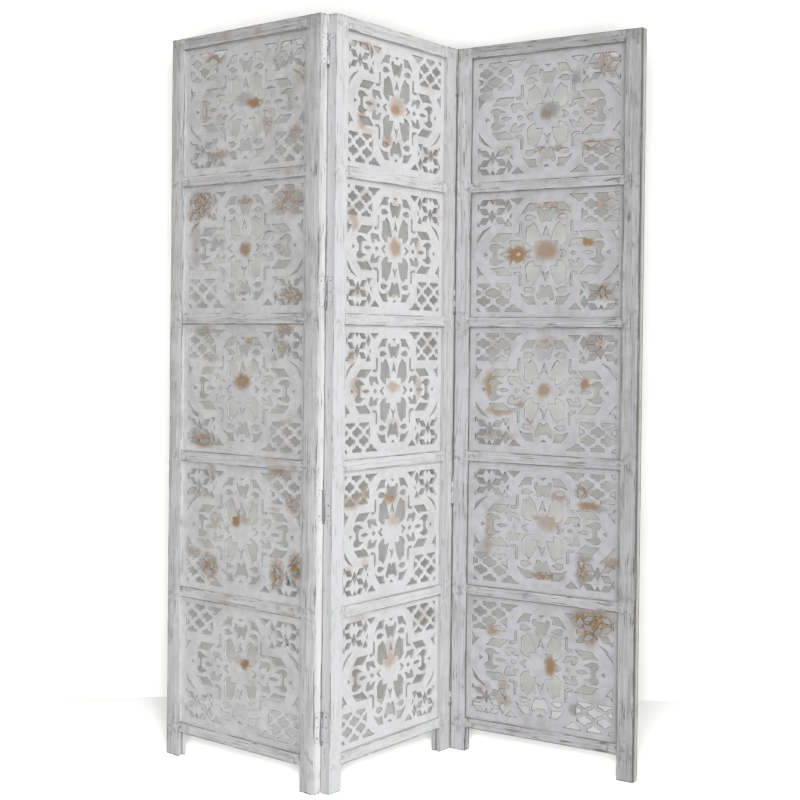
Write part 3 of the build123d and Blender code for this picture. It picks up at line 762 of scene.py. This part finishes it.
class JALI_OT_stiles(bpy.types.Operator):
    """Whitewash the six stiles and ease their edges"""

    bl_idname = "jali.stiles"
    bl_label = "Finish stiles"

    def execute(self, context):
        settings = context.scene.jali_finish
        for leaf in LEAVES:
            material = stile_finish(leaf, settings)
            for piece in leaf_nodes(leaf, "stile"):
                dress(piece, material)
                ease_edges(piece, settings.frame_edge, segments=2, least_angle=50)
        return {"FINISHED"}


class JALI_OT_rails(bpy.types.Operator):
    """Whitewash the eighteen rails and ease their edges"""

    bl_idname = "jali.rails"
    bl_label = "Finish rails"

    def execute(self, context):
        settings = context.scene.jali_finish
        for leaf in LEAVES:
            material = rail_finish(leaf, settings)
            for piece in leaf_nodes(leaf, "rail"):
                dress(piece, material)
                ease_edges(piece, settings.frame_edge, segments=2, least_angle=50)
        return {"FINISHED"}


class JALI_OT_panels(bpy.types.Operator):
    """Whitewash the fifteen fretwork panels, with their rubbed and stained patches"""

    bl_idname = "jali.panels"
    bl_label = "Finish panels"

    def execute(self, context):
        settings = context.scene.jali_finish
        for leaf in LEAVES:
            for row in range(1, ROWS + 1):
                (piece,) = leaf_nodes(leaf, f"panel_{row}")
                dress(piece, panel_finish(leaf, row, settings))
                ease_edges(piece, settings.fret_edge, segments=1, least_angle=35)
        return {"FINISHED"}


class JALI_OT_hinges(bpy.types.Operator):
    """Paint the hinge plates and age their pins and screws"""

    bl_idname = "jali.hinges"
    bl_label = "Finish hinges"

    def execute(self, context):
        settings, metal = context.scene.jali_finish, context.scene.jali_metal
        painted = {leaf: hinge_finish(leaf, settings, metal) for leaf in LEAVES}
        pin_steel = steel_finish("pin_steel_rusted", metal, 0.3)
        screw_steel = steel_finish("screw_steel_rusted", metal, 0.6)
        for name, piece in frame["nodes"].items():
            if name.endswith("_plate"):
                left_leaf, right_leaf = FOLDS[name.partition("_hinge_")[0]]
                dress(piece, painted[left_leaf if name.endswith("_left_plate") else right_leaf])
            elif name.endswith("_hinge_pins"):
                dress(piece, pin_steel)
            elif name.endswith("_hinge_screws"):
                dress(piece, screw_steel)
        return {"FINISHED"}


class JALI_OT_brads(bpy.types.Operator):
    """Put a domed brad head on the front of the stile over every rail tongue"""

    bl_idname = "jali.brads"
    bl_label = "Add brads"

    def execute(self, context):
        metal = context.scene.jali_metal
        steel = steel_finish("brad_steel_painted", metal, 0.75)
        radius = metal.brad_diameter / 2
        for leaf in LEAVES:
            shape = bmesh.new()
            for rail in range(ROWS + 1):
                height = TOP_RAIL_HEIGHT if rail == ROWS else RAIL_HEIGHT
                z = FOOT_HEIGHT + rail * ROW_PITCH + height / 2
                for x in (BRAD_INSET, LEAF_WIDTH - BRAD_INSET):
                    add_brad(shape, x, z, radius, metal.brad_height)
            mesh = bpy.data.meshes.new(f"{leaf}_leaf_brads")
            shape.to_mesh(mesh)
            shape.free()
            mesh.polygons.foreach_set("use_smooth", [True] * len(mesh.polygons))
            mesh.transform(leaf_matrix(leaf))
            mesh.materials.append(steel)
            piece = link(bpy.data.objects.new(f"{leaf}_leaf_brads", mesh))
            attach(piece, f"{leaf}_leaf")
        return {"FINISHED"}


def add_brad(shape, x, z, radius, height):
    """Add one domed head, closed behind the face of the wood."""
    angles = [2 * math.pi * step / BRAD_SIDES for step in range(BRAD_SIDES)]
    tip = shape.verts.new((x, -height, z))
    loops = []
    for share, lift in BRAD_RINGS:
        reach = radius * share
        ring = [(x + reach * math.cos(a), -height * lift, z + reach * math.sin(a)) for a in angles]
        loops.append([shape.verts.new(place) for place in ring])
    for step in range(BRAD_SIDES):
        after = (step + 1) % BRAD_SIDES
        shape.faces.new((tip, loops[0][step], loops[0][after]))
        for outer, inner in zip(loops[1:], loops):
            shape.faces.new((inner[step], outer[step], outer[after], inner[after]))
    shape.faces.new(list(reversed(loops[-1])))
    bmesh.ops.recalc_face_normals(shape, faces=shape.faces)


class JALI_OT_stage(bpy.types.Operator):
    """Set up the floor, the wall, the lights and the camera"""

    bl_idname = "jali.stage"
    bl_label = "Set stage"

    def execute(self, context):
        stage = context.scene.jali_stage
        floor = add_floor(stage)
        wall = add_wall(stage)
        set_world(stage)
        key = add_light("key_light", stage.key, *KEY_LIGHT)
        fill = add_light("fill_light", stage.fill, *FILL_LIGHT)
        add_light("back_light", stage.back, *BACK_LIGHT)
        choose_lit([key, fill], [wall], "EXCLUDE")
        choose_lit([add_lamp(stage)], [floor, wall], "INCLUDE")
        add_camera()
        context.scene.view_settings.view_transform = "Standard"
        return {"FINISHED"}


def add_floor(stage):
    """A wide round floor that holds the screen's shadow and fades to white far off."""
    shape = bmesh.new()
    bmesh.ops.create_circle(shape, cap_ends=True, segments=96, radius=FLOOR_RADIUS)
    mesh = bpy.data.meshes.new("floor")
    shape.to_mesh(mesh)
    shape.free()
    floor = link(bpy.data.objects.new("floor", mesh))
    floor.visible_diffuse = False
    graph = Graph(bpy.data.materials.new("pale_floor"))
    shader = graph.node("ShaderNodeBsdfDiffuse", None, {"Color": (*stage.floor, 1.0)})
    place = graph.node("ShaderNodeTexCoord", output="Object")
    far = graph.vector_math("LENGTH", place, (0, 0, 0), "Value").ramp(*FLOOR_FADE)
    graph.node("ShaderNodeOutputMaterial", None, {"Surface": graph.whitened(shader, far)})
    mesh.materials.append(graph.owner)
    return floor


def add_wall(stage):
    """A wall close behind the screen that holds its shade, is white beside it and clear from behind."""
    mesh = bpy.data.meshes.new("wall")
    corners = [(side * WALL_HALF_WIDTH, 0, up * WALL_HEIGHT) for up in (0, 1) for side in (-1, 1)]
    mesh.from_pydata(corners, [], [(0, 1, 3, 2)])
    wall = link(bpy.data.objects.new("wall", mesh))
    wall.location.y = stage.wall_gap
    wall.visible_diffuse = wall.visible_shadow = False
    graph = Graph(bpy.data.materials.new("white_wall"))
    front = graph.node("ShaderNodeBsdfDiffuse", None, {"Color": (*stage.wall, 1.0)})
    aside = abs(graph.split(graph.node("ShaderNodeTexCoord", output="Object"))[0]).ramp(*WALL_FADE)
    clear = graph.node("ShaderNodeBsdfTransparent")
    behind = graph.node("ShaderNodeNewGeometry", output="Backfacing")
    shader = graph.node("ShaderNodeMixShader", None, {0: behind, 1: graph.whitened(front, aside), 2: clear})
    graph.node("ShaderNodeOutputMaterial", None, {"Surface": shader})
    mesh.materials.append(graph.owner)
    return wall


def set_world(stage):
    """An even, soft light from all round, which is white where it is seen."""
    graph = Graph(bpy.data.worlds.new("studio"))
    bpy.context.scene.world = graph.owner
    colour = graph.mix((stage.ambient,) * 3, (1.0, 1.0, 1.0), graph.seen())
    sky = graph.node("ShaderNodeBackground", None, {"Color": colour, "Strength": 1.0})
    graph.node("ShaderNodeOutputWorld", None, {"Surface": sky})


def add_light(name, strength, spread, towards_light):
    """One large, soft light."""
    lamp = bpy.data.lights.new(name, "SUN")
    lamp.energy = strength
    lamp.angle = math.radians(spread)
    holder = link(bpy.data.objects.new(name, lamp))
    holder.rotation_mode = "QUATERNION"
    holder.rotation_quaternion = Vector(towards_light).to_track_quat("Z", "Y")
    return holder


def add_lamp(stage):
    """A soft lamp beside the camera. What it whitens is shaded only where the screen hides it."""
    lamp = bpy.data.lights.new("stage_lamp", "POINT")
    lamp.energy = stage.lamp
    lamp.shadow_soft_size = LAMP_RADIUS
    holder = link(bpy.data.objects.new("stage_lamp", lamp))
    holder.location = LAMP_PLACE
    return holder


def choose_lit(lights, pieces, state):
    """Let lights fall on nothing but some pieces, or on all but those."""
    for light in lights:
        listed = bpy.data.collections.new(f"{light.name}_receivers")
        for piece in pieces:
            listed.objects.link(piece)
        for member in listed.collection_objects:
            member.light_linking.link_state = state
        light.light_linking.receiver_collection = listed


def add_camera():
    """The camera, at eye height before the screen."""
    camera = bpy.data.cameras.new("camera")
    camera.sensor_width = CAMERA_SENSOR
    camera.lens = CAMERA_LENS
    camera.shift_x, camera.shift_y = CAMERA_SHIFT
    camera.clip_end = CAMERA_REACH
    holder = link(bpy.data.objects.new("camera", camera))
    yaw = Matrix.Rotation(math.radians(CAMERA_YAW), 4, "Z")
    pitch = Matrix.Rotation(math.radians(90 + CAMERA_PITCH), 4, "X")
    roll = Matrix.Rotation(math.radians(CAMERA_ROLL), 4, "Z")
    holder.matrix_world = Matrix.Translation(CAMERA_PLACE) @ yaw @ pitch @ roll
    bpy.context.scene.camera = holder


# ---------------------------------------------------------------- sidebar and registration


class JALI_PT_sidebar(bpy.types.Panel):
    """The screen's settings and the steps that make it"""

    bl_idname = "JALI_PT_sidebar"
    bl_label = "Jali screen"
    bl_space_type = "VIEW_3D"
    bl_region_type = "UI"
    bl_category = "Jali screen"

    def draw(self, context):
        for name in SETTINGS:
            group = getattr(context.scene, name)
            for key in group.bl_rna.properties.keys():
                if key not in ("rna_type", "name"):
                    self.layout.prop(group, key)
        for step in STEPS:
            self.layout.operator(step.bl_idname)


SETTINGS = {
    "jali_finish": JaliFinishSettings,
    "jali_metal": JaliMetalSettings,
    "jali_stage": JaliStageSettings,
}
STEPS = (JALI_OT_stiles, JALI_OT_rails, JALI_OT_panels, JALI_OT_hinges, JALI_OT_brads, JALI_OT_stage)
CLASSES = (*SETTINGS.values(), *STEPS, JALI_PT_sidebar)


def register():
    for made in CLASSES:
        bpy.utils.register_class(made)
    for name, group in SETTINGS.items():
        setattr(bpy.types.Scene, name, bpy.props.PointerProperty(type=group))


def unregister():
    for name in SETTINGS:
        delattr(bpy.types.Scene, name)
    for made in reversed(CLASSES):
        bpy.utils.unregister_class(made)


def main():
    register()
    for step in STEPS:
        group, name = step.bl_idname.split(".")
        getattr(getattr(bpy.ops, group), name)()


if __name__ == "__main__":
    main()
